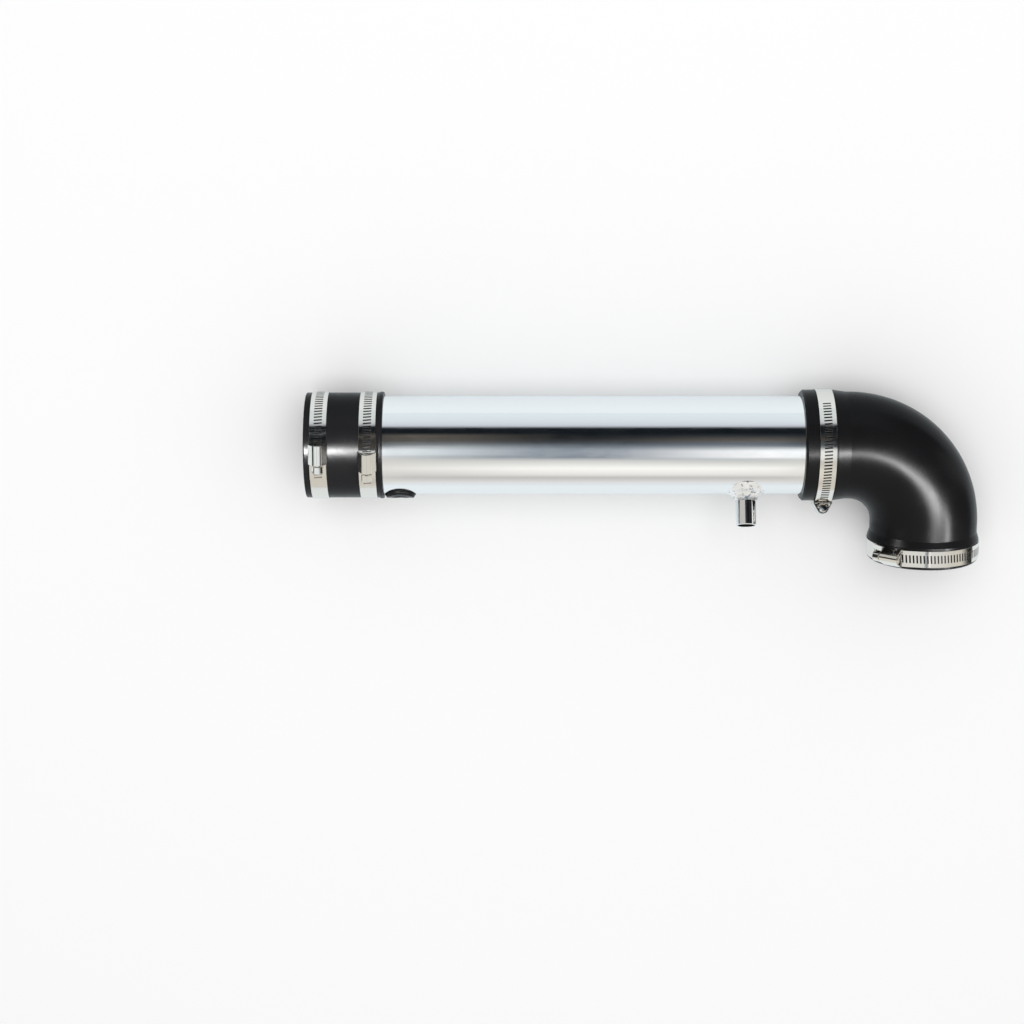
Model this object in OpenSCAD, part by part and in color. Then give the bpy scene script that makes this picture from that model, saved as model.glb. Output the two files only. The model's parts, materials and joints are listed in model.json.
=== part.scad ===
// Cold air intake pipe: a straight tube joined to a rubber coupler and a
// rubber 90 degree elbow by worm-drive clamps.
// Millimetres. The origin is the centre of the coupler's free mouth, +X runs
// along the pipe, the elbow's leg points to -Y, and +Z is the upper side as
// the assembly lies on its side.

/* [Pipe] */
// Outside diameter of the pipe
pipe_d = 76.2; // [60:0.1:90]
// Wall of the pipe
pipe_wall = 1.65; // [1.2:0.05:3]
// Distance from the coupler's free mouth to the elbow's inlet rim
mouth_to_elbow = 382.5; // [300:0.5:460]
// How far the pipe reaches into the elbow
pipe_in_elbow = 29.5; // [26:0.5:34]

/* [Breather nipple] */
// Distance from the coupler's free mouth to the nipple's axis
nipple_x = 339.5; // [200:0.5:350]
// Outside diameter of the nipple
nipple_d = 15.8; // [10:0.1:18]
// Wall of the nipple
nipple_wall = 1.3; // [0.8:0.1:2]
// How far the nipple stands out of the pipe
nipple_height = 25.3; // [18:0.1:40]
// How much the nipple's radius steps down inside the boss
spigot_step = 0.3; // [0.2:0.05:0.5]
// How far the boss stands out of the pipe
boss_height = 6.2; // [4:0.1:9]
// Radius of the boss's hollow flare
boss_flare_r = 6.6; // [4:0.1:8]
// Wall of the boss at its outer end
boss_wall = 0.7; // [0.5:0.1:2]
// Angle of the nipple round the pipe, from the leg's side towards the top
nipple_angle = 24; // [0:1:90]

/* [Sensor grommet] */
// Diameter of the grommet's outer flange
grommet_flange_d = 24.4; // [22:0.1:28]
// Diameter of the hole in the pipe that holds the grommet
grommet_hole_d = 18.6; // [15:0.1:20]
// Diameter of the hole through the grommet
grommet_bore_d = 12.7; // [8:0.1:13]
// Height of the outer flange over the pipe
grommet_flange_h = 2.9; // [1.5:0.1:4]
// Bevel of the outer flange
grommet_bevel = 1.9; // [0.5:0.1:2.2]
// Thickness of the inner lip
grommet_lip_h = 2.4; // [1.5:0.1:4]
// How far the inner lip reaches past the hole
grommet_lip_reach = 1.2; // [0.5:0.1:2]
// Angle of the grommet round the pipe, from the leg's side towards the top
grommet_angle = 18; // [0:1:90]

/* [Coupler] */
// Length of the straight coupler
coupler_len = 60; // [54:0.5:90]
// Wall of the coupler
coupler_wall = 2.5; // [2:0.1:5]
// How far the pipe reaches into the coupler
pipe_in_coupler = 25; // [20:0.5:26]
// Height of the bead on the coupler's inner end
coupler_bead = 0.7; // [0.3:0.1:1.5]
// Width of that bead
coupler_bead_w = 3.4; // [2.5:0.1:4]
// Height of the rib inside the coupler that stops the pipe
stop_rib_h = 1.2; // [0.8:0.1:2]
// Width of that rib
stop_rib_w = 3; // [2:0.1:5]
// Distance from each end of the coupler to the middle of its clamp
coupler_clamp_edge = 11.3; // [10.5:0.1:14]

/* [Elbow] */
// Bend radius of the elbow's centre line
bend_r = 61; // [55:0.5:80]
// Wall of the elbow in the bend
elbow_wall = 3.3; // [2:0.1:5]
// Straight length of the elbow before the bend
elbow_inlet_len = 37; // [35:0.5:60]
// Straight length of the elbow after the bend
elbow_outlet_len = 28.5; // [26.5:0.5:60]
// How much thicker the collars are than the bend
collar_extra = 1.5; // [0.5:0.1:4]
// Length of the inlet collar at full thickness
inlet_collar_len = 24.5; // [24:0.5:26]
// Length of the outlet collar at full thickness
outlet_collar_len = 17; // [16:0.5:18]
// Length over which the inlet collar tapers to the bend
inlet_taper = 9.5; // [4:0.5:10]
// Length over which the outlet collar tapers to the leg
outlet_taper = 5; // [3:0.5:8]
// Bevel of the collars' rims
rim_bevel = 1.4; // [0.5:0.1:2.5]
// Distance from the inlet rim to the middle of its clamp
inlet_clamp_edge = 16.5; // [10:0.5:17]
// Distance from the outlet rim to the middle of its clamp
outlet_clamp_edge = 8.9; // [8.5:0.1:9.5]

/* [Clamps] */
// Width of the clamp band
band_w = 12.7; // [11:0.1:14]
// Thickness of the clamp band
band_t = 0.65; // [0.5:0.05:0.8]
// Distance from slot to slot, which is also the pitch of the worm
slot_pitch = 2.7; // [2.4:0.1:3.2]
// Width of a slot
slot_w = 1.2; // [0.9:0.1:1.4]
// Length of a slot
slot_len = 6.2; // [4:0.1:7]
// Slant of the slots
slot_slant = 5; // [0:0.5:7]
// Slots between the housing and the plain part of the band
slots_out = 36; // [20:1:40]
// Slots from the middle of the housing to the loose end
slots_in = 7; // [6:1:8]
// Length of the screw housing
housing_len = 15; // [13:0.1:17]
// Sheet thickness of the housing
housing_t = 0.7; // [0.5:0.05:1]
// Thickness of the saddle
saddle_t = 0.8; // [0.6:0.05:1.2]
// Length of the saddle
saddle_len = 12.6; // [11:0.1:13]
// Length of each locking lug on the saddle
lug_len = 2.8; // [2:0.1:3.5]
// Distance between the lugs' middles
lug_spacing = 7.6; // [6:0.1:8]
// Outside diameter of the worm
worm_d = 7.4; // [7:0.1:8]
// Height of the worm's ridges
worm_ridge_h = 1.1; // [0.8:0.1:1.4]
// Width of a worm ridge at its crest
worm_crest_w = 0.5; // [0.3:0.05:0.6]
// Width of a worm ridge at its root
worm_root_w = 1.5; // [1.2:0.05:1.8]
// How far the worm's ridges reach into the slots
worm_bite = 0.2; // [0.1:0.05:0.4]
// Hexagon head of the screw, across flats
head_af = 7.9; // [7:0.1:8]
// Length of the screw's head
head_len = 5.6; // [4:0.1:7]
// Gap between the housing and the screw's head
head_gap = 1.1; // [0.3:0.1:2]
// Diameter of the neck between worm and head
neck_d = 4.4; // [3.5:0.1:5]
// Width of the screwdriver slot
driver_slot_w = 1.2; // [0.8:0.1:1.6]
// Depth of the screwdriver slot
driver_slot_depth = 2.2; // [1.5:0.1:3]

/* [Clearances] */
// Gap between rubber bores and what they grip, and between bands and rubber
rubber_fit = 0.1; // [0.05:0.05:0.2]
// Gap between neighbouring metal pieces of a clamp
metal_fit = 0.05; // [0.03:0.01:0.1]
// Gap round the worm and its neck
worm_play = 0.15; // [0.1:0.05:0.3]

/* [Hidden] */
$fn = 96;

// Radii about the duct's centre line
pipe_r = pipe_d / 2;
pipe_in_r = pipe_r - pipe_wall;
duct_r = pipe_r + rubber_fit;
coupler_r = duct_r + coupler_wall;
elbow_r = duct_r + elbow_wall;
collar_r = elbow_r + collar_extra;

// Places along the pipe and the elbow
pipe_start = coupler_len - pipe_in_coupler;
pipe_end = mouth_to_elbow + pipe_in_elbow;
bend_start = mouth_to_elbow + elbow_inlet_len;
leg_x = bend_start + bend_r;
mouth_y = -bend_r - elbow_outlet_len;
// The grommet sits right beside the coupler
grommet_gap = 0.3;
grommet_x = coupler_len + grommet_gap + grommet_flange_d / 2;

// Rounded edges of rubber mouths, and steps in each rounding
lip_r = 0.9;
arc_steps = 5;

// Nipple: radius inside the boss, and the bevel of its outer end
nipple_r = nipple_d / 2;
spigot_r = nipple_r - spigot_step;
spigot_hole_r = spigot_r + metal_fit;
nipple_edge = 0.4;

// Clamp places: distance along the pipe or leg, and angle of the housing
inlet_clamp_x = coupler_clamp_edge;
joint_clamp_x = coupler_len - coupler_clamp_edge;
elbow_clamp_x = mouth_to_elbow + inlet_clamp_edge;
outlet_clamp_y = mouth_y + outlet_clamp_edge;
inlet_clamp_angle = 92.5;
joint_clamp_angle = 85;
elbow_clamp_angle = 14.5;
outlet_clamp_angle = 39;

// How far each screw's head is turned
inlet_head_turn = 30;
joint_head_turn = 0;
elbow_head_turn = 10;
outlet_head_turn = 20;

// Clamp heights, counted from the inside of the band
layer_1_top = band_t;
saddle_bottom = layer_1_top + metal_fit;
saddle_top = saddle_bottom + saddle_t;
lap_bottom = saddle_top + metal_fit;
lap_top = lap_bottom + band_t;
worm_r = worm_d / 2;
screw_axis_h = lap_top - worm_bite + worm_r;
barrel_in_r = worm_r + worm_play;
barrel_out_r = barrel_in_r + housing_t;
leg_in = band_w / 2 + metal_fit;
leg_out = leg_in + housing_t;
knee_h = lap_top + metal_fit;
end_wall_h = lap_top + worm_play;

// Screw: how far the worm stops short of the housing's open end, and how far
// the head's corners stand out past its flats once rounded
worm_inset = 0.4;
head_corner = 0.25;

// Where the band starts to climb over its own plain end, in degrees from the
// middle of the housing, and the flats that the climb is drawn with
ramp_start_angle = 26;
ramp_steps = 6;
// The climb is a little thinner than the band and ends inside it
ramp_inset = 0.05;
seam_angle = 0.3;
// How far cuts run past what they cut, and joined solids into each other
cut_depth = 1;
join_depth = 0.2;

// Round points from angle a0 to a1 about [cx, cy]
function arc(cx, cy, r, a0, a1) =
    [for (i = [0:arc_steps])
        let (a = a0 + (a1 - a0) * i / arc_steps)
        [cx + r * cos(a), cy + r * sin(a)]];

// Point at radius r and angle a
function polar(r, a) = [r * cos(a), r * sin(a)];

// Share of the lap's rise that is reached at share s of the ramp
function ease(s) = s * s * (3 - 2 * s);

// Turns a profile drawn as [radius, distance along X] about the X axis
module turn_about_x() {
    rotate([0, 90, 0])
        rotate_extrude()
            children();
}

// Places a piece at distance x, standing out of the pipe at angle a
module on_pipe(x, a) {
    translate([x, 0, 0])
        rotate([90 - a, 0, 0])
            children();
}

// Solid cylinder about the X axis from x0 to x1
module rod_x(r, x0, x1) {
    translate([x0, 0, 0])
        rotate([0, 90, 0])
            cylinder(r = r, h = x1 - x0);
}

// Pipe

module pipe() {
    color([0.80, 0.81, 0.82])
    difference() {
        turn_about_x()
            translate([pipe_in_r, pipe_start])
                square([pipe_wall, pipe_end - pipe_start]);
        on_pipe(nipple_x, nipple_angle)
            cylinder(r = spigot_hole_r, h = pipe_d);
        on_pipe(grommet_x, grommet_angle)
            cylinder(r = grommet_hole_d / 2, h = pipe_d);
    }
}

// Flared boss, hollowed to a feather edge where it meets the pipe
module vent_boss() {
    neck_r = nipple_r + boss_wall;
    foot_r = neck_r + boss_flare_r;
    top_h = pipe_r + boss_height;
    foot_h = top_h - boss_flare_r;
    skirt = 5;
    color([0.84, 0.85, 0.86])
    difference() {
        on_pipe(nipple_x, nipple_angle)
            difference() {
                rotate_extrude()
                    polygon(concat(
                        [[0, foot_h - skirt], [foot_r + skirt, foot_h - skirt]],
                        arc(foot_r, top_h, boss_flare_r, 270, 180),
                        [[0, top_h]]));
                cylinder(r = spigot_hole_r, h = pipe_d);
            }
        rod_x(pipe_r, 0, pipe_end);
    }
}

// Tube whose shoulder stands on the boss and whose spigot fills the hole
module vent_nipple() {
    in_r = nipple_r - nipple_wall;
    shoulder_h = pipe_r + boss_height + metal_fit;
    top_h = pipe_r + nipple_height;
    color([0.86, 0.87, 0.88])
    on_pipe(nipple_x, nipple_angle)
        rotate_extrude()
            polygon([
                [in_r, pipe_in_r],
                [spigot_r, pipe_in_r],
                [spigot_r, shoulder_h],
                [nipple_r, shoulder_h],
                [nipple_r, top_h - nipple_edge],
                [nipple_r - nipple_edge, top_h],
                [in_r, top_h]]);
}

// Rubber grommet: the outer flange and the inner lip follow the pipe's curve
module sensor_grommet() {
    flange_r = grommet_flange_d / 2;
    body_r = grommet_hole_d / 2 - rubber_fit;
    lip_r_out = grommet_hole_d / 2 + grommet_lip_reach;
    bore_r = grommet_bore_d / 2;
    top_h = pipe_r + grommet_flange_h;
    low_h = pipe_in_r - rubber_fit - grommet_lip_h;
    color([0.07, 0.07, 0.08])
    union() {
        difference() {
            intersection() {
                on_pipe(grommet_x, grommet_angle)
                    rotate_extrude()
                        polygon([
                            [bore_r, pipe_in_r - grommet_flange_h],
                            [flange_r, pipe_in_r - grommet_flange_h],
                            [flange_r, top_h - grommet_flange_h],
                            [flange_r - grommet_bevel, top_h],
                            [bore_r, top_h]]);
                rod_x(top_h, 0, pipe_end);
            }
            rod_x(pipe_r + rubber_fit / 2, 0, pipe_end);
        }
        on_pipe(grommet_x, grommet_angle)
            rotate_extrude()
                translate([bore_r, low_h])
                    square([body_r - bore_r, pipe_r + rubber_fit - low_h]);
        intersection() {
            on_pipe(grommet_x, grommet_angle)
                rotate_extrude()
                    polygon([
                        [bore_r, low_h],
                        [body_r - grommet_lip_reach, low_h],
                        [lip_r_out, low_h + grommet_lip_h / 2],
                        [lip_r_out, pipe_r],
                        [bore_r, pipe_r]]);
            rod_x(pipe_in_r - rubber_fit / 2, 0, pipe_end);
        }
    }
}

// Rubber parts

// Straight sleeve with rounded mouths, a bead on its inner end and a rib
// inside that stops the pipe
module coupler() {
    bead_r = coupler_r + coupler_bead;
    bead_x = coupler_len - coupler_bead_w;
    rib_r = duct_r - stop_rib_h;
    rib_end = pipe_start - rubber_fit;
    rib_start = rib_end - stop_rib_w;
    color([0.07, 0.07, 0.08])
    turn_about_x()
        polygon(concat(
            [[duct_r, 0]],
            arc(coupler_r - lip_r, lip_r, lip_r, -90, 0),
            [[coupler_r, bead_x - coupler_bead], [bead_r, bead_x + lip_r]],
            arc(bead_r - lip_r, coupler_len - lip_r, lip_r, 0, 90),
            [[duct_r, coupler_len], [duct_r, rib_end], [rib_r, rib_end],
            [rib_r, rib_start + stop_rib_h], [duct_r, rib_start]]));
}

// Collar profile as [radius, distance from the rim], tapering to the bend
module collar_profile(full_len, taper_len, total_len) {
    polygon([
        [duct_r, 0],
        [collar_r - rim_bevel, 0],
        [collar_r, rim_bevel],
        [collar_r, full_len],
        [elbow_r, full_len + taper_len],
        [elbow_r, total_len],
        [duct_r, total_len]]);
}

module elbow() {
    color([0.08, 0.08, 0.085])
    union() {
        translate([mouth_to_elbow, 0, 0])
            turn_about_x()
                collar_profile(inlet_collar_len, inlet_taper, elbow_inlet_len);
        translate([bend_start, -bend_r, 0])
            rotate_extrude(angle = 90)
                translate([bend_r, 0])
                    difference() {
                        circle(r = elbow_r);
                        circle(r = duct_r);
                    }
        translate([leg_x, mouth_y, 0])
            rotate([-90, 0, 0])
                rotate_extrude()
                    collar_profile(outlet_collar_len, outlet_taper, elbow_outlet_len);
    }
}

// Worm-drive clamp
// Each piece is drawn about the Z axis with the housing on +X. The slotted
// band leaves the housing towards +Y, and the screw's head is on its -Y side.

// Part of the band: a plain arc of it from angle a0 to a1
module band_arc(r, a0, a1) {
    rotate([0, 0, a0])
        rotate_extrude(angle = a1 - a0)
            translate([r, -band_w / 2])
                square([band_t, band_w]);
}

// The stretch where the band climbs over its own plain end, from the foot's
// angle to the top's
module band_ramp(r, foot_angle, top_angle) {
    turn = (top_angle - foot_angle) / ramp_steps;
    inner = [for (i = [0:ramp_steps])
        polar(r + ramp_inset + lap_bottom * ease(i / ramp_steps), foot_angle + turn * i)];
    outer = [for (i = [ramp_steps:-1:0])
        polar(r + band_t - ramp_inset + lap_bottom * ease(i / ramp_steps),
            foot_angle + turn * i)];
    translate([0, 0, -band_w / 2])
        linear_extrude(band_w)
            polygon(concat(inner, outer));
}

// One slot, cut from height h0 outwards
module slot(r, h0, a) {
    rotate([0, 0, a])
        translate([r + h0, 0, 0])
            rotate([slot_slant, 0, 0])
                translate([0, -slot_w / 2, -slot_len / 2])
                    cube([lap_top - h0 + cut_depth, slot_w, slot_len]);
}

module clamp_band(r) {
    lap_pitch_angle = slot_pitch / (r + lap_top) * 180 / PI;
    main_pitch_angle = slot_pitch / (r + band_t) * 180 / PI;
    saddle_angle = asin(saddle_len / 2 / (r + saddle_top));
    lap_slots = ceil(saddle_angle / lap_pitch_angle + 0.5);
    lap_start_angle = (lap_slots - 0.5) * lap_pitch_angle;
    loose_end_angle = -(slots_in + 1) * lap_pitch_angle;
    color([0.78, 0.78, 0.76])
    difference() {
        union() {
            band_arc(r, ramp_start_angle, 360 + lap_start_angle);
            band_ramp(r, ramp_start_angle + seam_angle, lap_start_angle - seam_angle);
            band_arc(r + lap_bottom, loose_end_angle, lap_start_angle);
        }
        for (k = [-slots_in:lap_slots - 1])
            slot(r, lap_bottom - metal_fit - saddle_t / 2, k * lap_pitch_angle);
        for (k = [1:slots_out])
            slot(r, -cut_depth, (lap_slots - 1) * lap_pitch_angle + k * main_pitch_angle);
    }
}

// Curved plate between the band's two layers, locked to the housing by lugs
module clamp_saddle(r) {
    color([0.72, 0.72, 0.71])
    intersection() {
        difference() {
            cylinder(r = r + saddle_top, h = 2 * leg_out, center = true);
            cylinder(r = r + saddle_bottom, h = 3 * leg_out, center = true);
        }
        union() {
            translate([0, -saddle_len / 2, -band_w / 2])
                cube([2 * r, saddle_len, band_w]);
            for (side = [-1, 1])
                translate([0, side * lug_spacing / 2 - lug_len / 2, -leg_out])
                    cube([2 * r, lug_len, 2 * leg_out]);
        }
    }
}

// Section of the housing, as [height, width]: straight legs, then flanks that
// run on to a round crest about the screw
module strap_section(r, half_w, crest_r) {
    axis_h = r + screw_axis_h;
    knee = r + knee_h;
    drop = axis_h - knee;
    reach = sqrt(pow(drop, 2) + pow(half_w, 2));
    touch_angle = acos(crest_r / reach) - atan2(drop, half_w);
    touch = [axis_h + crest_r * sin(touch_angle), crest_r * cos(touch_angle)];
    translate([axis_h, 0])
        circle(r = crest_r);
    polygon([
        [0, -half_w], [knee, -half_w], [touch[0], -touch[1]],
        [touch[0], touch[1]], [knee, half_w], [0, half_w]]);
}

module clamp_housing(r) {
    window_w = lug_len + 2 * metal_fit;
    wall_y = -housing_len / 2;
    color([0.80, 0.80, 0.79])
    difference() {
        union() {
            // Folded strap
            rotate([90, 0, 0])
                linear_extrude(housing_len, center = true)
                    difference() {
                        strap_section(r, leg_out, barrel_out_r);
                        strap_section(r, leg_in, barrel_in_r);
                    }
            // Wall behind the screw's head
            translate([0, wall_y + housing_t, 0])
                rotate([90, 0, 0])
                    linear_extrude(housing_t)
                        intersection() {
                            strap_section(r, leg_out, barrel_out_r);
                            translate([r + end_wall_h, -leg_out])
                                square([2 * r, 2 * leg_out]);
                        }
        }
        // The legs stand on the rubber
        cylinder(r = r, h = 4 * leg_out, center = true);
        // Hole for the screw's neck
        translate([r + screw_axis_h, 0, 0])
            rotate([90, 0, 0])
                cylinder(r = neck_d / 2 + worm_play, h = 2 * housing_len, center = true);
        // Windows for the saddle's lugs
        for (side = [-1, 1])
            intersection() {
                difference() {
                    cylinder(r = r + saddle_top + metal_fit, h = 4 * leg_out, center = true);
                    cylinder(r = r + saddle_bottom - metal_fit, h = 5 * leg_out, center = true);
                }
                translate([0, side * lug_spacing / 2 - window_w / 2, -2 * leg_out])
                    cube([2 * r, window_w, 4 * leg_out]);
            }
    }
}

// Worm screw along Y, its head turned by angle head_turn
module clamp_screw(r, head_turn) {
    core_r = worm_r - worm_ridge_h;
    half_crest = worm_crest_w / 2;
    half_root = worm_root_w / 2;
    worm_start = -housing_len / 2 + housing_t + worm_play;
    worm_stop = housing_len / 2 - worm_inset;
    head_start = housing_len / 2 + head_gap;
    ridges = floor((worm_stop - half_root) / slot_pitch);
    color([0.82, 0.82, 0.81])
    translate([r + screw_axis_h, 0, 0])
        rotate([-90, 0, 0])
            difference() {
                union() {
                    translate([0, 0, worm_start])
                        cylinder(r = core_r, h = worm_stop - worm_start);
                    for (k = [-ridges:ridges])
                        translate([0, 0, k * slot_pitch])
                            rotate_extrude()
                                polygon([
                                    [0, -half_root], [core_r, -half_root],
                                    [worm_r, -half_crest], [worm_r, half_crest],
                                    [core_r, half_root], [0, half_root]]);
                    translate([0, 0, -head_start - join_depth])
                        cylinder(r = neck_d / 2, h = worm_start + head_start + 2 * join_depth);
                    intersection() {
                        translate([0, 0, -head_start - head_len])
                            rotate([0, 0, head_turn])
                                cylinder(r = head_af / sqrt(3), h = head_len, $fn = 6);
                        translate([0, 0, -head_start - head_len])
                            cylinder(r = head_af / 2 + head_corner, h = head_len);
                    }
                }
                translate([0, 0, -head_start - head_len])
                    rotate([0, 0, head_turn])
                        cube([driver_slot_w, head_af * 2, driver_slot_depth * 2], center = true);
            }
}

// Puts a clamp piece round the pipe at x, its housing at angle a
module clamp_on_pipe(x, a) {
    translate([x, 0, 0])
        rotate([90 - a, 0, 0])
            rotate([0, -90, 0])
                children();
}

// Puts a clamp piece round the leg at y, its housing turned by a from the top
module clamp_on_leg(y, a) {
    translate([leg_x, y, 0])
        rotate([0, -a, 0])
            rotate([-90, 0, 0])
                rotate([0, 0, -90])
                    children();
}

// Inside radius of the bands on the coupler and on the elbow's collars
coupler_band_r = coupler_r + rubber_fit;
collar_band_r = collar_r + rubber_fit;

module at_inlet_clamp() {
    clamp_on_pipe(inlet_clamp_x, inlet_clamp_angle) children();
}

module at_joint_clamp() {
    clamp_on_pipe(joint_clamp_x, joint_clamp_angle) children();
}

module at_elbow_clamp() {
    clamp_on_pipe(elbow_clamp_x, elbow_clamp_angle) children();
}

module at_outlet_clamp() {
    clamp_on_leg(outlet_clamp_y, outlet_clamp_angle) children();
}

module inlet_clamp_band() { at_inlet_clamp() clamp_band(coupler_band_r); }
module inlet_clamp_saddle() { at_inlet_clamp() clamp_saddle(coupler_band_r); }
module inlet_clamp_housing() { at_inlet_clamp() clamp_housing(coupler_band_r); }
module inlet_clamp_screw() { at_inlet_clamp() clamp_screw(coupler_band_r, inlet_head_turn); }

module joint_clamp_band() { at_joint_clamp() clamp_band(coupler_band_r); }
module joint_clamp_saddle() { at_joint_clamp() clamp_saddle(coupler_band_r); }
module joint_clamp_housing() { at_joint_clamp() clamp_housing(coupler_band_r); }
module joint_clamp_screw() { at_joint_clamp() clamp_screw(coupler_band_r, joint_head_turn); }

module elbow_clamp_band() { at_elbow_clamp() clamp_band(collar_band_r); }
module elbow_clamp_saddle() { at_elbow_clamp() clamp_saddle(collar_band_r); }
module elbow_clamp_housing() { at_elbow_clamp() clamp_housing(collar_band_r); }
module elbow_clamp_screw() { at_elbow_clamp() clamp_screw(collar_band_r, elbow_head_turn); }

module outlet_clamp_band() { at_outlet_clamp() clamp_band(collar_band_r); }
module outlet_clamp_saddle() { at_outlet_clamp() clamp_saddle(collar_band_r); }
module outlet_clamp_housing() { at_outlet_clamp() clamp_housing(collar_band_r); }
module outlet_clamp_screw() { at_outlet_clamp() clamp_screw(collar_band_r, outlet_head_turn); }

pipe();
vent_boss();
vent_nipple();
sensor_grommet();
coupler();
elbow();
inlet_clamp_band();
inlet_clamp_saddle();
inlet_clamp_housing();
inlet_clamp_screw();
joint_clamp_band();
joint_clamp_saddle();
joint_clamp_housing();
joint_clamp_screw();
elbow_clamp_band();
elbow_clamp_saddle();
elbow_clamp_housing();
elbow_clamp_screw();
outlet_clamp_band();
outlet_clamp_saddle();
outlet_clamp_housing();
outlet_clamp_screw();
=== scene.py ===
"""Looks of the cold air intake pipe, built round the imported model. Metres."""
import json
import math

import bpy
import numpy as np
from mathutils import Matrix, Vector


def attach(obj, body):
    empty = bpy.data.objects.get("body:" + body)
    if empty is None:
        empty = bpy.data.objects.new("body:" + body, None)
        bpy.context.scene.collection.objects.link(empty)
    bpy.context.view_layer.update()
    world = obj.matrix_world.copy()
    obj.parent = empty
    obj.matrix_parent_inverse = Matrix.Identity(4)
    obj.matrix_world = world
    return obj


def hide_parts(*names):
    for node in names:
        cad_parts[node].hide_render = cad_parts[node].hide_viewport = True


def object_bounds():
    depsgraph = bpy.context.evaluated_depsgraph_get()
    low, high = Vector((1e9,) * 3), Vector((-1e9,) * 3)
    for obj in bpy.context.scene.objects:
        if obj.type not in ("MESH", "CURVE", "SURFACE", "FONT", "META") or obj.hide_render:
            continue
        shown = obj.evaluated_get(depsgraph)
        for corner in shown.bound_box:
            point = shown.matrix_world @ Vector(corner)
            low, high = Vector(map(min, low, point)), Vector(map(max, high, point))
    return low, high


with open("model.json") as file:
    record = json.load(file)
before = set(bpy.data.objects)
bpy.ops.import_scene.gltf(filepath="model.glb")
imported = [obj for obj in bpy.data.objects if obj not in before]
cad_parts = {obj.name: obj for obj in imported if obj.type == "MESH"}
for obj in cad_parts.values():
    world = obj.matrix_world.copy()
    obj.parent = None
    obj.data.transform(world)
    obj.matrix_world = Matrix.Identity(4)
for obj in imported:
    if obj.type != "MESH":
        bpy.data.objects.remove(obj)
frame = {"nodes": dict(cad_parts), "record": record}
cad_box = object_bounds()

MM = 0.001
FULL_TURN = 2 * math.pi
NODES = frame["nodes"]
SUBPARTS = frame["record"]["subparts"]


# Objects, meshes and places

def new_object(name, data):
    """An object in the scene with this mesh, camera or lamp."""
    thing = bpy.data.objects.new(name, data)
    bpy.context.scene.collection.objects.link(thing)
    return thing


def new_mesh(name, points, faces):
    mesh = bpy.data.meshes.new(name)
    mesh.from_pydata(points, [], faces)
    return mesh


def moved(x, y, z):
    return Matrix.Translation((x, y, z))


def turned(axis, degrees):
    return Matrix.Rotation(math.radians(degrees), 4, axis)


def facing(side, top, out):
    """The turn that lays an object's own X, Y and Z along these directions."""
    return Matrix((side, top, out)).transposed().to_4x4()


def around(radius, turn, height):
    """A point by its distance from the Z axis, its turn about that axis and its height."""
    return (radius * math.cos(turn), radius * math.sin(turn), height)


# Shader nodes

# The Mix node's sockets for colours, by number because other sockets share their names
MIX_FIRST = 6
MIX_SECOND = 7
MIX_RESULT = 2
# The part of a noise's values that is spread over a range
NOISE_LOW = 0.3
NOISE_HIGH = 0.7
BEVEL_SAMPLES = 6


def add(tree, kind, inputs=None, **settings):
    """Adds a node, sets its fields, and sets or links its inputs."""
    node = tree.nodes.new(kind)
    for key, value in settings.items():
        setattr(node, key, value)
    for key, value in (inputs or {}).items():
        if isinstance(value, bpy.types.NodeSocket):
            tree.links.new(value, node.inputs[key])
        else:
            node.inputs[key].default_value = value
    return node


def show(tree, shader, output="ShaderNodeOutputMaterial"):
    """Makes the shader what the tree's material or world shows."""
    add(tree, output, {"Surface": shader.outputs[0]})


def math_node(tree, operation, *values):
    """A Math node on sockets or numbers."""
    return add(tree, "ShaderNodeMath", dict(enumerate(values)), operation=operation).outputs[0]


def rise(tree, value, start, end, low=0.0, high=1.0):
    """Goes from low at the start to high at the end, and stays level past both."""
    return add(tree, "ShaderNodeMapRange", {"Value": value, "From Min": start, "From Max": end,
                                            "To Min": low, "To Max": high}).outputs[0]


def with_alpha(colour):
    """A plain colour as nodes take it. A socket stays as it is."""
    return colour if isinstance(colour, bpy.types.NodeSocket) else (*colour, 1)


def grey(value):
    return (value, value, value)


def ramp(tree, factor, stops):
    """A colour ramp with (place, colour) stops."""
    node = add(tree, "ShaderNodeValToRGB", {"Fac": factor})
    elements = node.color_ramp.elements
    while len(elements) < len(stops):
        elements.new(0.5)
    for element, (place, colour) in zip(elements, stops):
        element.position = place
        element.color = with_alpha(colour)
    return node.outputs["Color"]


def mix_colours(tree, factor, first, second):
    """Goes from the first colour to the second as the factor goes from 0 to 1."""
    inputs = {"Factor": factor, MIX_FIRST: with_alpha(first), MIX_SECOND: with_alpha(second)}
    return add(tree, "ShaderNodeMix", inputs, data_type="RGBA").outputs[MIX_RESULT]


def object_place(tree):
    """The position on the part itself, in metres."""
    return add(tree, "ShaderNodeTexCoord").outputs["Object"]


def noise(tree, place, scale, detail):
    return add(tree, "ShaderNodeTexNoise",
               {"Vector": place, "Scale": scale, "Detail": detail}).outputs["Fac"]


def stretched_noise(tree, place, scales, detail):
    """Noise with a scale of its own along each axis."""
    stretched = add(tree, "ShaderNodeMapping", {"Vector": place, "Scale": scales})
    return noise(tree, stretched.outputs[0], 1.0, detail)


def spread(tree, value, low, high):
    """Maps the middle of a noise to the range from low to high."""
    return rise(tree, value, NOISE_LOW, NOISE_HIGH, low, high)


def rounded(tree, radius):
    """Normals that soften sharp edges by this radius."""
    return add(tree, "ShaderNodeBevel", {"Radius": radius}, samples=BEVEL_SAMPLES).outputs[0]


def bump(tree, height, strength, distance, normal=None):
    inputs = {"Height": height, "Strength": strength, "Distance": distance}
    if normal is not None:
        inputs["Normal"] = normal
    return add(tree, "ShaderNodeBump", inputs).outputs[0]


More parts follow.
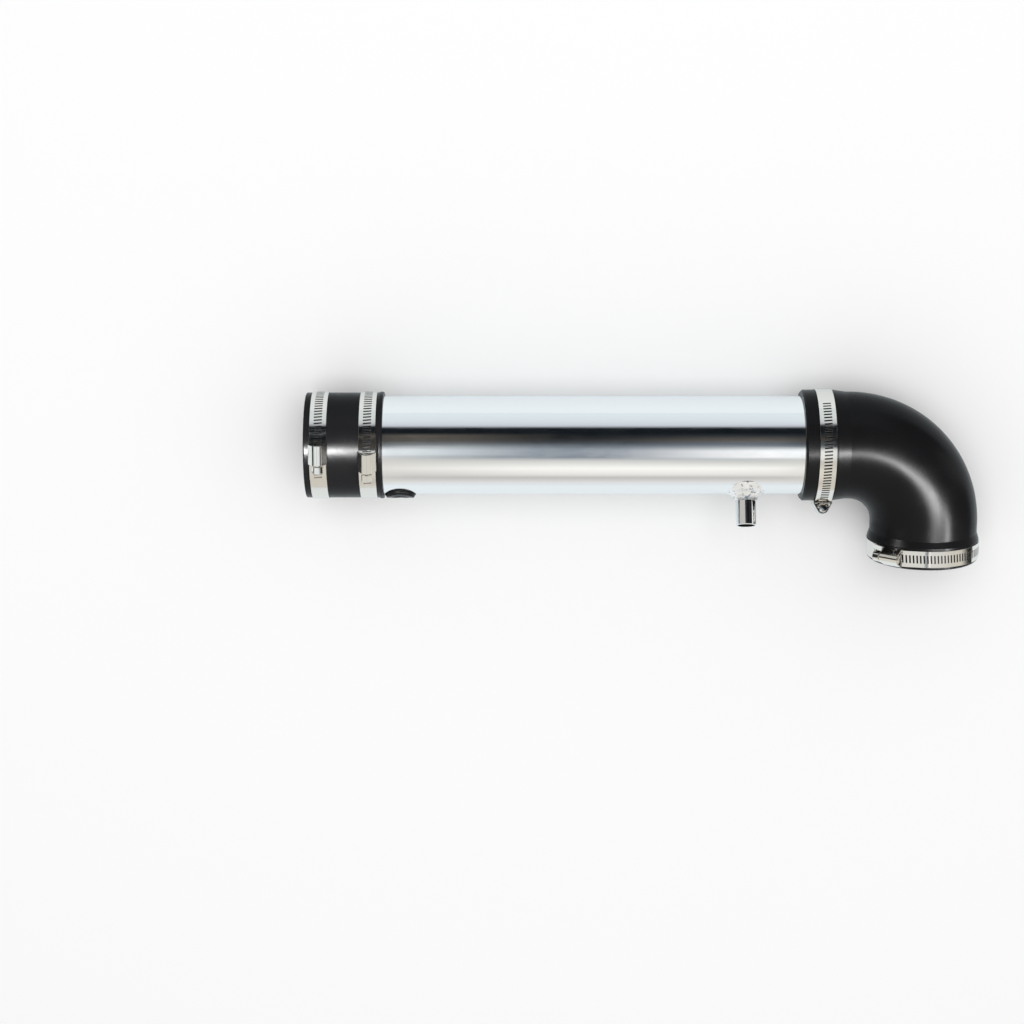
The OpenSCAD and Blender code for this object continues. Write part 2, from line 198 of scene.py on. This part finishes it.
# Materials. A noise's scale is its waves per metre, and a scale of three values is along X
# and across. Its detail is how far it is followed into finer waves.
SPOT_DETAIL = 2.0
GRAIN_DETAIL = 3.0
CLOUD_DETAIL = 4.0

ALUMINIUM = (0.93, 0.935, 0.94)
POLISH_GRAIN_SCALE = (30, 2600, 2600)
POLISH_GRAIN_ROUGHNESS = (0.02, 0.05)
POLISH_GRAIN_BUMP = 0.08
POLISH_GRAIN_DEPTH = 0.1 * MM
POLISH_CLOUD_SCALE = (60, 160, 160)
POLISH_CLOUD_ROUGHNESS = (0.04, 0.08)

METAL_BUMP = 0.1
METAL_DEPTH = 0.1 * MM

WELD_PIT_SCALE = 900.0
WELD_PIT_ROUGHNESS = (0.22, 0.40)
WELD_PIT_BUMP = 0.5
WELD_PIT_DEPTH = 0.3 * MM
WELD_SPOT_SCALE = 330.0
WELD_STOPS = [(0.36, (0.34, 0.38, 0.42)), (0.44, (0.98, 0.98, 0.98))]
WELD_METALLIC = 0.75

RUBBER_BLACK = (0.002, 0.002, 0.0022)
RUBBER_GLOSS = 0.075
RUBBER_EDGE = 0.4 * MM
RUBBER_CLOUD_SCALE = 60.0
PEBBLE_SCALE = 2200.0
PEBBLE_BUMP = 0.22
PEBBLE_DEPTH = 0.12 * MM


def new_material(name):
    """A material and its node tree, which is still empty."""
    material = bpy.data.materials.new(name)
    material.use_nodes = True
    material.node_tree.nodes.clear()
    return material, material.node_tree


def polished_aluminium():
    """Drawn and polished tube: cloudy gloss and a fine grain round it over a mirror."""
    material, tree = new_material("polished_aluminium")
    place = object_place(tree)
    grain = stretched_noise(tree, place, POLISH_GRAIN_SCALE, GRAIN_DETAIL)
    cloud = stretched_noise(tree, place, POLISH_CLOUD_SCALE, CLOUD_DETAIL)
    roughness = math_node(tree, "ADD", spread(tree, grain, *POLISH_GRAIN_ROUGHNESS),
                          spread(tree, cloud, *POLISH_CLOUD_ROUGHNESS))
    show(tree, add(tree, "ShaderNodeBsdfPrincipled", {
        "Base Color": with_alpha(ALUMINIUM),
        "Metallic": 1.0,
        "Roughness": roughness,
        "Normal": bump(tree, grain, POLISH_GRAIN_BUMP, POLISH_GRAIN_DEPTH),
    }))
    return material


def bright_metal(name, colour, roughness, cloud_scale, edge):
    """Bright metal with uneven gloss and softened edges."""
    material, tree = new_material(name)
    cloud = noise(tree, object_place(tree), cloud_scale, CLOUD_DETAIL)
    show(tree, add(tree, "ShaderNodeBsdfPrincipled", {
        "Base Color": with_alpha(colour),
        "Metallic": 1.0,
        "Roughness": spread(tree, cloud, *roughness),
        "Normal": bump(tree, cloud, METAL_BUMP, METAL_DEPTH, rounded(tree, edge)),
    }))
    return material


def weld_metal():
    """Weld bead: bright aluminium, pitted, with dark spots."""
    material, tree = new_material("weld_metal")
    place = object_place(tree)
    pits = noise(tree, place, WELD_PIT_SCALE, GRAIN_DETAIL)
    spots = noise(tree, place, WELD_SPOT_SCALE, SPOT_DETAIL)
    show(tree, add(tree, "ShaderNodeBsdfPrincipled", {
        "Base Color": ramp(tree, spots, WELD_STOPS),
        "Metallic": WELD_METALLIC,
        "Roughness": spread(tree, pits, *WELD_PIT_ROUGHNESS),
        "Normal": bump(tree, pits, WELD_PIT_BUMP, WELD_PIT_DEPTH),
    }))
    return material


def moulded_rubber(name, roughness):
    """Black satin rubber with a fine pebbled skin."""
    material, tree = new_material(name)
    place = object_place(tree)
    pebbles = noise(tree, place, PEBBLE_SCALE, SPOT_DETAIL)
    cloud = noise(tree, place, RUBBER_CLOUD_SCALE, CLOUD_DETAIL)
    show(tree, add(tree, "ShaderNodeBsdfPrincipled", {
        "Base Color": with_alpha(RUBBER_BLACK),
        "Specular IOR Level": RUBBER_GLOSS,
        "Roughness": spread(tree, cloud, *roughness),
        "Normal": bump(tree, pebbles, PEBBLE_BUMP, PEBBLE_DEPTH, rounded(tree, RUBBER_EDGE)),
    }))
    return material


MATERIALS = {
    "pipe": polished_aluminium(),
    "weld": weld_metal(),
    "nipple": bright_metal("nipple_metal", (0.90, 0.90, 0.90), roughness=(0.06, 0.12),
                           cloud_scale=400.0, edge=0.2 * MM),
    "grommet": moulded_rubber("grommet_rubber", roughness=(0.20, 0.28)),
    "hose": moulded_rubber("hose_rubber", roughness=(0.23, 0.29)),
    "clamp_band": bright_metal("band_steel", (0.83, 0.80, 0.75), roughness=(0.06, 0.14),
                               cloud_scale=300.0, edge=0.1 * MM),
    "clamp_housing": bright_metal("housing_steel", (0.86, 0.84, 0.79), roughness=(0.05, 0.12),
                                  cloud_scale=300.0, edge=0.2 * MM),
    "clamp_screw": bright_metal("screw_steel", (0.86, 0.84, 0.80), roughness=(0.06, 0.14),
                                cloud_scale=300.0, edge=0.2 * MM),
}
for entry in SUBPARTS:
    for slot in NODES[entry["node"]].material_slots:
        slot.material = MATERIALS[entry["material_slot"]]


# Pieces with finer forms than the solids they stand for. An edge sharper than the crease,
# in degrees, stays sharp.
CREASE = 35
BEAD_CREASE = 60

# Weld bead round the nipple: where it is, its hollow flare and its ripples. The angle is
# in degrees, from -Y towards +Z.
PIPE_R = 38.1 * MM
NIPPLE_X = 339.5 * MM
NIPPLE_ANGLE = 24
BEAD_BORE_R = 7.65 * MM
BEAD_NECK_R = 8.6 * MM
BEAD_TOP = PIPE_R + 6.2 * MM
BEAD_FLARE_R = 6.6 * MM
BEAD_FLARE_POINTS = 14
BEAD_SKIRT_START = 0.8 * MM
BEAD_SKIRT = 5.0 * MM
BEAD_SKIRT_POINTS = 5
BEAD_SINK = 0.3 * MM
RIPPLES = 30
RIPPLE_POINTS = 12
RIPPLE_HEIGHT = 0.35 * MM
RIPPLE_LEAN = 1.6
RIPPLE_SHARPNESS = 0.6
# The ripples have faded out at 1 / RIPPLE_FADE of the way to the foot, and rise straight
# up from 1 / RIPPLE_TILT of it
RIPPLE_FADE = 1.15
RIPPLE_TILT = 1.5

# Worm screw: worm, neck and head, along its own axis with the worm's middle at 0
SCREW_POINTS = 72
WORM_R = 3.7 * MM
RIDGE_HEIGHT = 1.1 * MM
RIDGE_CREST = 0.5 * MM
RIDGE_ROOT = 1.5 * MM
WORM_ROOT_R = WORM_R - RIDGE_HEIGHT
WORM_PITCH = 2.7 * MM
WORM_START = -6.65 * MM
WORM_STOP = 7.1 * MM
WORM_STEP = 0.2 * MM
NECK_R = 2.2 * MM
HEAD_START = -8.6 * MM
HEAD_LENGTH = 5.6 * MM
HEAD_FACE = HEAD_START - HEAD_LENGTH
HEAD_FLATS = 7.9 * MM
HEAD_CORNER = 0.25 * MM
# Chamfers of the head's outer face, which keeps this share of the flats, and of its back,
# which is cut less deep
FACE_SHARE = 0.88
CHAMFER_SLOPE = math.sqrt(3)
FACE_CHAMFER = 0.9 * MM
FACE_CHAMFER_RINGS = 5
BACK_CHAMFER = 0.3 * MM
BACK_DEPTH = 0.1 * MM
DRIVER_SLOT_WIDTH = 1.2 * MM
DRIVER_SLOT_DEPTH = 2.2 * MM

# Where the clamps sit
SCREW_AXIS_HEIGHT = 5.7 * MM
COUPLER_BAND_R = 40.8 * MM
COLLAR_BAND_R = 43.1 * MM
LEG_X = 480.5 * MM


def ring_skin(rings, closed):
    """Points and faces of rings joined in a loop, or with one face over each end."""
    count = len(rings[0])
    points = [point for ring in rings for point in ring]
    pairs = [(i, i + 1) for i in range(len(rings) - 1)]
    if closed:
        pairs.append((len(rings) - 1, 0))
    faces = [(a * count + j, a * count + (j + 1) % count,
              b * count + (j + 1) % count, b * count + j)
             for a, b in pairs for j in range(count)]
    if not closed:
        faces.append(tuple(reversed(range(count))))
        faces.append(tuple(range((len(rings) - 1) * count, len(rings) * count)))
    return points, faces


def add_piece(name, points, faces, placed, material_slot, node, crease=CREASE):
    """A piece in place of one CAD node, smooth but for edges sharper than the crease."""
    mesh = new_mesh(name, [placed @ Vector(point) for point in points], faces)
    mesh.shade_smooth()
    mesh.set_sharp_from_angle(angle=math.radians(crease))
    mesh.materials.append(MATERIALS[material_slot])
    piece = new_object(name, mesh)
    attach(piece, "root")
    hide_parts(node)
    return piece


def ripple(turn, share):
    """Height of the bead's overlapping crescents at a turn, from its neck to its foot."""
    wave = (turn * RIPPLES / FULL_TURN + RIPPLE_LEAN * (share - 0.5) ** 2) % 1
    fade = math.sin(math.pi * min(1.0, share * RIPPLE_FADE))
    return RIPPLE_HEIGHT * (wave ** RIPPLE_SHARPNESS) * max(0.0, fade)


def bead_outline():
    """Radius and height of the bead's face, down its hollow flare and its straight skirt."""
    foot_r = BEAD_NECK_R + BEAD_FLARE_R
    foot_height = BEAD_TOP - BEAD_FLARE_R
    flare = [(foot_r - BEAD_FLARE_R * math.cos(a), BEAD_TOP - BEAD_FLARE_R * math.sin(a))
             for a in np.linspace(0, math.pi / 2, BEAD_FLARE_POINTS)]
    skirt = [(foot_r + out, foot_height - out)
             for out in np.linspace(BEAD_SKIRT_START, BEAD_SKIRT, BEAD_SKIRT_POINTS)]
    return flare + skirt


def on_or_above_pipe(radius, turn, height):
    """This height, or just inside the pipe's skin where the skin is higher."""
    surface = math.sqrt(PIPE_R ** 2 - (radius * math.sin(turn)) ** 2)
    return max(height, surface - BEAD_SINK)


def bead_ring(radius, height, share, turns):
    """A ring of the bead's face. Its ripples rise outwards at the neck and up at the foot."""
    tilt = min(1.0, share * RIPPLE_TILT) * math.pi / 2
    ring = []
    for turn in turns:
        rising = ripple(turn, share)
        out = radius + rising * math.cos(tilt)
        ring.append(around(out, turn,
                           on_or_above_pipe(out, turn, height + rising * math.sin(tilt))))
    return ring


def weld_bead():
    """The bead as rings from its bore over its neck and flare to its foot in the pipe."""
    turns = np.linspace(0, FULL_TURN, RIPPLE_POINTS * RIPPLES, endpoint=False)
    outline = bead_outline()
    rings = [[around(BEAD_BORE_R, t, BEAD_TOP) for t in turns]]
    for i, (radius, height) in enumerate(outline):
        rings.append(bead_ring(radius, height, i / (len(outline) - 1), turns))
    rings.append([around(BEAD_BORE_R, t, on_or_above_pipe(BEAD_BORE_R, t, 0)) for t in turns])
    points, faces = ring_skin(rings, closed=True)
    placed = moved(NIPPLE_X, 0, 0) @ turned("X", 90 - NIPPLE_ANGLE)
    add_piece("weld_bead", points, faces, placed, "weld", "vent_boss", BEAD_CREASE)


def worm_radius(height, turn):
    """The worm's radius where its thread, a helix of trapezium section, passes."""
    phase = (height / WORM_PITCH - turn / FULL_TURN) % 1
    off = abs(phase - 0.5) * WORM_PITCH
    share = (RIDGE_ROOT / 2 - off) / (RIDGE_ROOT / 2 - RIDGE_CREST / 2)
    return WORM_ROOT_R + RIDGE_HEIGHT * min(1.0, max(0.0, share))


def head_radius(depth, turn):
    """The head's hexagon with rounded corners, at this depth below a chamfered face."""
    off_flat = (turn % (math.pi / 3)) - math.pi / 6
    hexagon = min(HEAD_FLATS / 2 / math.cos(off_flat), HEAD_FLATS / 2 + HEAD_CORNER)
    cone = HEAD_FLATS / 2 * FACE_SHARE + depth * CHAMFER_SLOPE
    return min(hexagon, cone)


def screw_skin():
    """The screw as rings from its head's outer face to the end of its worm."""
    turns = np.linspace(0, FULL_TURN, SCREW_POINTS, endpoint=False)
    depths = list(np.linspace(0, FACE_CHAMFER, FACE_CHAMFER_RINGS))
    depths += [HEAD_LENGTH - BACK_CHAMFER, HEAD_LENGTH]
    rings = []
    for depth in depths:
        below_face = min(depth, HEAD_LENGTH - depth + BACK_DEPTH)
        rings.append([around(head_radius(below_face, t), t, HEAD_FACE + depth) for t in turns])
    for height in (HEAD_START, WORM_START):
        rings.append([around(NECK_R, t, height) for t in turns])
    for height in np.arange(WORM_START, WORM_STOP, WORM_STEP):
        rings.append([around(worm_radius(height, t), t, height) for t in turns])
    rings.append([around(WORM_ROOT_R, t, WORM_STOP) for t in turns])
    return ring_skin(rings, closed=False)


def cut_driver_slot(piece, placed):
    """Saws the screwdriver slot across the head."""
    half_width = DRIVER_SLOT_WIDTH / 2
    corners = [(x, y, z) for x in (-half_width, half_width) for y in (-HEAD_FLATS, HEAD_FLATS)
               for z in (HEAD_FACE - DRIVER_SLOT_DEPTH, HEAD_FACE + DRIVER_SLOT_DEPTH)]
    faces = [(0, 1, 3, 2), (4, 6, 7, 5), (0, 4, 5, 1), (2, 3, 7, 6), (0, 2, 6, 4), (1, 5, 7, 3)]
    saw = new_object("saw", new_mesh("saw", [placed @ Vector(c) for c in corners], faces))
    modifier = piece.modifiers.new("slot", "BOOLEAN")
    modifier.operation = "DIFFERENCE"
    modifier.solver = "EXACT"
    modifier.object = saw
    shape = piece.evaluated_get(bpy.context.evaluated_depsgraph_get())
    piece.data = bpy.data.meshes.new_from_object(shape)
    piece.modifiers.clear()
    piece.data.set_sharp_from_angle(angle=math.radians(CREASE))
    bpy.data.objects.remove(saw)


def pipe_clamp_frame(x, angle):
    """A clamp's own frame on the pipe, with its axis along Z and its screw out along X.

    The angle of its screw is in degrees, from -Y towards +Z.
    """
    return moved(x, 0, 0) @ turned("X", 90 - angle) @ turned("Y", -90)


def leg_clamp_frame(y, angle):
    """A clamp's own frame on the elbow's leg, with its axis and screw as on the pipe.

    Here the angle is from +Z towards -X.
    """
    return moved(LEG_X, y, 0) @ turned("Y", -angle) @ turned("X", -90) @ turned("Z", -90)


# Each clamp's name and frame, the inside radius of its band and its screw head's turn
CLAMPS = [
    ("inlet_clamp", pipe_clamp_frame(x=11.3 * MM, angle=92.5), COUPLER_BAND_R, 30),
    ("joint_clamp", pipe_clamp_frame(x=48.7 * MM, angle=85.0), COUPLER_BAND_R, 0),
    ("elbow_clamp", pipe_clamp_frame(x=399.0 * MM, angle=14.5), COLLAR_BAND_R, 10),
    ("outlet_clamp", leg_clamp_frame(y=-80.6 * MM, angle=39.0), COLLAR_BAND_R, 20),
]


def clamp_screws():
    """One screw for each clamp, put where the clamp's own frame has it."""
    points, faces = screw_skin()
    for clamp, clamp_frame, band_r, head_turn in CLAMPS:
        placed = (clamp_frame @ moved(band_r + SCREW_AXIS_HEIGHT, 0, 0)
                  @ turned("X", -90) @ turned("Z", head_turn))
        piece = add_piece(clamp + "_worm_screw", points, faces, placed, "clamp_screw",
                          clamp + "_screw")
        cut_driver_slot(piece, placed)


weld_bead()
clamp_screws()


# Camera: the photograph's place and lens, over the part as it lies on its side
CAMERA_TILT = math.radians(14)
CAMERA_DISTANCE = 1.8
CAMERA_ALONG = 0.1589
CAMERA_ACROSS = -0.052
FOCAL_MM = 81.55
SENSOR_MM = 36
CLIP_START = 0.05

back = Vector((0, math.sin(CAMERA_TILT), math.cos(CAMERA_TILT)))
up = Vector((0, math.cos(CAMERA_TILT), -math.sin(CAMERA_TILT)))
right = Vector((1, 0, 0))


def make_camera():
    data = bpy.data.cameras.new("camera")
    data.lens = FOCAL_MM
    data.sensor_width = SENSOR_MM
    data.clip_start = CLIP_START
    camera = new_object("camera", data)
    place = back * CAMERA_DISTANCE + up * CAMERA_ACROSS + right * CAMERA_ALONG
    camera.matrix_world = moved(*place) @ facing(right, up, back)
    bpy.context.scene.camera = camera


make_camera()


# White table under the part. Its colour in the metal's reflection is painted a little bluer and
# darker
TABLE_HEIGHT = cad_box[0][2]
TABLE_MIDDLE_X = CAMERA_ALONG
TABLE_HALF_X = 0.52
TABLE_HALF_Y = 3.0
TABLE_WHITE = (0.97, 0.97, 0.97)
TABLE_PAINTED_REFLECTION = (0.84, 0.90, 0.93)


def table_white():
    material, tree = new_material("table_white")
    path = add(tree, "ShaderNodeLightPath")
    # Glossy rays see the table in a painted reflection colour, bluer and darker than its white
    colour = mix_colours(tree, path.outputs["Is Glossy Ray"], TABLE_WHITE, TABLE_PAINTED_REFLECTION)
    show(tree, add(tree, "ShaderNodeBsdfDiffuse", {"Color": colour}))
    return material


def make_table():
    left_x, right_x = TABLE_MIDDLE_X - TABLE_HALF_X, TABLE_MIDDLE_X + TABLE_HALF_X
    corners = [(left_x, -TABLE_HALF_Y, TABLE_HEIGHT), (right_x, -TABLE_HALF_Y, TABLE_HEIGHT),
               (right_x, TABLE_HALF_Y, TABLE_HEIGHT), (left_x, TABLE_HALF_Y, TABLE_HEIGHT)]
    mesh = new_mesh("table", corners, [(0, 1, 2, 3)])
    mesh.materials.append(table_white())
    table = new_object("table", mesh)


make_table()


# Studio. The polished metal mirrors it by the angle round the pipe's axis, counted in
# degrees from the camera's direction towards the top of the picture. From the top down
# there are a cool ceiling, a dark gap over the camera, a bright opening, a warm wall with
# its foot, and the horizon.
CEILING = (0.77, 0.85, 0.88)
CEILING_LOW = (0.72, 0.78, 0.81)
CEILING_EDGE = (0.62, 0.65, 0.71)
BLACK_GAP = (0.005, 0.008, 0.011)
DARK_GLASS = (0.035, 0.042, 0.05)
BROWN = (0.15, 0.135, 0.115)
SHADE = (0.28, 0.31, 0.32)
SLATE = (0.20, 0.235, 0.28)
STEEL = (0.56, 0.60, 0.61)
WINDOW = (0.86, 0.91, 0.94)
WHITE_LAMP = (1.2, 1.2, 1.2)
CREAM = (0.72, 0.70, 0.65)
WALL_SHADE = (0.64, 0.64, 0.62)
WALL = (0.85, 0.83, 0.79)
WALL_LIT = (1.05, 1.04, 0.99)
WALL_FOOT = (0.56, 0.54, 0.52)
HORIZON = (0.84, 0.85, 0.85)
# Stops of (angle, colour). The left, middle and right share those below and above.
BELOW = [(-180, CEILING), (-105, HORIZON), (-84, WALL_FOOT)]
ABOVE = [(26, BLACK_GAP), (38, BLACK_GAP), (44, CEILING_EDGE), (56, CEILING_LOW),
         (72, CEILING), (180, CEILING)]
LEFT_STOPS = BELOW + [(-58, WALL), (-38, WALL_SHADE), (-29, STEEL), (-23, WINDOW),
                      (-14, WINDOW), (-5, STEEL), (0, SHADE), (8, BROWN), (20, BROWN)] + ABOVE
MIDDLE_STOPS = BELOW + [(-75, WALL), (-58, WALL_LIT), (-38, WALL_SHADE), (-31, SLATE),
                        (-12, SLATE), (4, DARK_GLASS), (14, BLACK_GAP)] + ABOVE
RIGHT_STOPS = BELOW + [(-75, WALL), (-58, WALL_LIT), (-42, WALL_SHADE), (-35, STEEL),
                       (-30, WHITE_LAMP), (-16, WHITE_LAMP), (-9, STEEL), (-2, SLATE),
                       (10, BROWN), (20, DARK_GLASS)] + ABOVE
# Past both ends of the pipe, where the clamps look
OUTER_STOPS = [(-180, CEILING), (-105, CREAM), (-38, CREAM), (-22, WINDOW), (-12, WINDOW),
               (-5, BLACK_GAP), (38, BLACK_GAP), (44, CEILING_EDGE), (56, CEILING),
               (180, CEILING)]
# How much of the left, right and outer colours shows, by the direction's share along X
LEFT_SHARE = [(-0.05, 1.0), (-0.027, 0.7), (-0.005, 0.25), (0.02, 0.0)]
RIGHT_SHARE = [(0.02, 0.0), (0.047, 0.05), (0.072, 0.5), (0.107, 0.9), (0.12, 1.0)]
OUTER_SHARE = [(-0.062, 1.0), (-0.055, 0.0), (0.122, 0.0), (0.13, 1.0)]
# Far to the sides it is dark, but for a pale card on the left and a white one on the right.
# Each pair is where the direction's share, along X or up, starts and ends the change.
SIDE_COLOUR = (0.02, 0.02, 0.02)
SIDE_ALONG = (0.35, 0.55)
SIDE_UP = (-0.30, -0.22)
CARD_UP = (0.12, 0.18)
LEFT_CARD = (0.55, 0.55, 0.53)
LEFT_CARD_ALONG = (-0.18, -0.28)
RIGHT_CARD = (1.0, 1.0, 0.98)
RIGHT_CARD_ALONG = (0.88, 0.92)
# The room's light on what is not glossy, and the white that the camera sees past the table
AMBIENT = grey(0.69)
BACKDROP = grey(1.0)


def share_along(tree, direction, axis):
    """How much of a direction lies along an axis, from -1 to 1."""
    return add(tree, "ShaderNodeVectorMath", {0: direction, 1: axis},
               operation="DOT_PRODUCT").outputs["Value"]


def angle_ramp(tree, angle, stops):
    """Colours by an angle in degrees, from -180 to 180."""
    return ramp(tree, math_node(tree, "ADD", math_node(tree, "DIVIDE", angle, 360.0), 0.5),
                [(0.5 + degrees / 360, colour) for degrees, colour in stops])


def share_ramp(tree, value, stops):
    """A grey ramp over a value's own range, with (value, share) stops."""
    low, high = stops[0][0], stops[-1][0]
    return ramp(tree, rise(tree, value, low, high),
                [((at - low) / (high - low), grey(share)) for at, share in stops])


def mirrored_studio(tree):
    """What a glossy ray meets, from its direction alone."""
    direction = add(tree, "ShaderNodeTexCoord").outputs["Generated"]
    along = share_along(tree, direction, right)
    upward = share_along(tree, direction, up)
    towards = share_along(tree, direction, back)
    turn = math_node(tree, "ARCTAN2", upward, towards)
    angle = math_node(tree, "MULTIPLY", turn, 180 / math.pi)
    colour = angle_ramp(tree, angle, MIDDLE_STOPS)
    for shares, stops in ((LEFT_SHARE, LEFT_STOPS), (RIGHT_SHARE, RIGHT_STOPS),
                          (OUTER_SHARE, OUTER_STOPS)):
        colour = mix_colours(tree, share_ramp(tree, along, shares), colour,
                             angle_ramp(tree, angle, stops))
    sideways = rise(tree, math_node(tree, "ABSOLUTE", along), *SIDE_ALONG)
    dark = math_node(tree, "MULTIPLY", sideways, rise(tree, upward, *SIDE_UP))
    colour = mix_colours(tree, dark, colour, SIDE_COLOUR)
    carded = rise(tree, upward, *CARD_UP)
    for card, reach in ((LEFT_CARD, LEFT_CARD_ALONG), (RIGHT_CARD, RIGHT_CARD_ALONG)):
        shown = math_node(tree, "MULTIPLY", carded, rise(tree, along, *reach))
        colour = mix_colours(tree, shown, colour, card)
    return colour


def make_world():
    """The studio in reflections, its plain light on the rest, and white for the camera."""
    world = bpy.data.worlds.new("studio")
    world.use_nodes = True
    tree = world.node_tree
    tree.nodes.clear()
    path = add(tree, "ShaderNodeLightPath")
    glossy = mix_colours(tree, path.outputs["Is Glossy Ray"], AMBIENT, mirrored_studio(tree))
    seen = mix_colours(tree, path.outputs["Is Camera Ray"], glossy, BACKDROP)
    show(tree, add(tree, "ShaderNodeBackground", {"Color": seen, "Strength": 1.0}),
         "ShaderNodeOutputWorld")
    bpy.context.scene.world = world


make_world()


# Lamps. Two strips and the lamp by the coupler light the rubber alone and give it its
# highlights. The overhead lamp, which nothing mirrors, whitens the table.
PART_MIDDLE = (0.25, 0.0, 0.0)
ELBOW_MIDDLE = (0.44, -0.02, 0.0)
COUPLER_MIDDLE = (0.03, 0.0, 0.041)
STRIP_DISTANCE = 2.6


def rubber_pieces():
    """The rubber nodes in a collection of their own, for their lamps to light."""
    rubber = bpy.data.collections.new("rubber")
    for entry in SUBPARTS:
        if entry["material_slot"] in ("hose", "grommet"):
            rubber.objects.link(NODES[entry["node"]])
    return rubber


def area_lamp(name, target, direction, distance, size, radiance, mirrored=True):
    """An area lamp that faces the target from this direction, its first side nearest X."""
    data = bpy.data.lights.new(name, "AREA")
    data.shape = "RECTANGLE"
    data.size, data.size_y = size
    data.energy = radiance * math.pi * size[0] * size[1]
    out = Vector(direction).normalized()
    side = (right - out * out.x).normalized()
    place = Vector(target) + out * distance
    lamp = new_object(name, data)
    lamp.matrix_world = moved(*place) @ facing(side, out.cross(side), out)
    lamp.visible_camera = False
    lamp.visible_glossy = mirrored
    return lamp


def rubber_lamp(name, target, leaning, distance, size, radiance):
    """A lamp for the rubber, its direction given along the camera's own axes."""
    direction = right * leaning[0] + up * leaning[1] + back * leaning[2]
    lamp = area_lamp(name, target, direction, distance, size, radiance)
    lamp.light_linking.receiver_collection = RUBBER


RUBBER = rubber_pieces()
rubber_lamp("strip_over_elbow", ELBOW_MIDDLE, leaning=(0.37, -0.335, 0.88),
            distance=STRIP_DISTANCE, size=(1.2, 0.26), radiance=210.0)
rubber_lamp("strip_over_leg", ELBOW_MIDDLE, leaning=(0.68, -0.44, 0.59),
            distance=STRIP_DISTANCE, size=(0.30, 0.9), radiance=110.0)
rubber_lamp("lamp_by_coupler", COUPLER_MIDDLE, leaning=(-0.16, -0.25, 0.95),
            distance=0.25, size=(0.04, 0.04), radiance=800.0)
area_lamp("overhead", PART_MIDDLE, direction=(0.0, 0.2, 1.0),
          distance=3.0, size=(2.4, 2.4), radiance=2.05, mirrored=False)

bpy.context.scene.view_settings.view_transform = "Standard"
